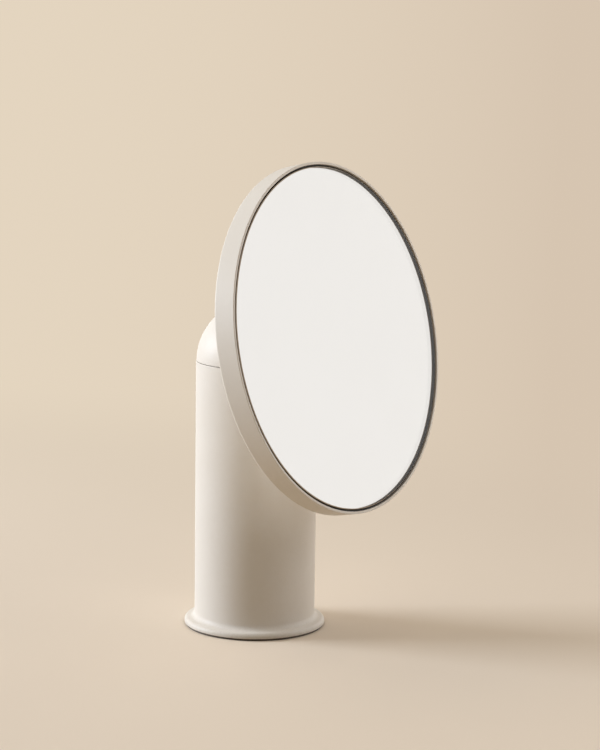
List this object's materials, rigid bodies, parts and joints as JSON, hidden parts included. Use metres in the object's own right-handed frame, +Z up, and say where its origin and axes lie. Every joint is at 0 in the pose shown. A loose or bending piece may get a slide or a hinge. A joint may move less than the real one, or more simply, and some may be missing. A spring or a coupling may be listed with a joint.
{
  "type": "table mirror",
  "caption": "Round table mirror on a flared storage column; the half-ball head swivels, lifts off as the lid and carries the tilting mirror disc.",
  "frame": {"origin": "middle of the foot's resting face, on the column's axis", "axes": "+Z up along the column, -Y towards whoever looks into the mirror, +X to that person's right"},
  "size_m": [0.2, 0.1211, 0.2736],
  "materials": {
    "lacquer": "satin",
    "silvered_glass": "polished",
    "gasket_rubber": "matte",
    "pad_rubber": "matte",
    "steel": "satin",
    "iron": "matte",
    "ring_plastic": "satin",
    "cup_plastic": "satin",
    "felt": "matte",
    "foam": "matte"
  },
  "bodies": {
    "stand": {"column_shell": "lacquer", "base_plate": "steel", "ballast_weight": "iron", "foot_pad": "pad_rubber", "base_screws": "steel", "mouth_ring": "ring_plastic", "storage_cup": "cup_plastic", "cup_mat": "felt"},
    "collar": {"swivel_collar": "ring_plastic", "friction_band": "gasket_rubber"},
    "head": {"dome_shell": "lacquer", "dome_lugs": "steel", "lid_plug": "cup_plastic", "plug_screws": "steel", "neck_stem": "lacquer", "neck_gasket": "gasket_rubber", "saddle_washer": "steel", "spring_washer": "steel", "neck_nut": "steel"},
    "mirror": {"hinge_bracket": "lacquer", "friction_washers": "ring_plastic", "pivot_pin": "steel", "pivot_nut": "steel", "bracket_screws": "steel", "mirror_case": "lacquer", "case_stiffener": "steel", "foam_pad": "foam", "glass_gasket": "gasket_rubber", "mirror_glass": "silvered_glass"}
  },
  "joints": [
    {"name": "head_swivel", "type": "hinge", "parent": "stand", "child": "collar", "pos_m": [0, 0, 0.15535], "axis": [0, 0, 1], "continuous": true},
    {"name": "head_lift", "type": "slide", "parent": "collar", "child": "head", "axis": [0, 0, 1], "range_m": [0, 0.1]},
    {"name": "mirror_tilt", "type": "hinge", "parent": "head", "child": "mirror", "pos_m": [0, -0.03971, 0.17177], "axis": [-1, 0, 0], "range_deg": [-15, 25]}
  ]
}
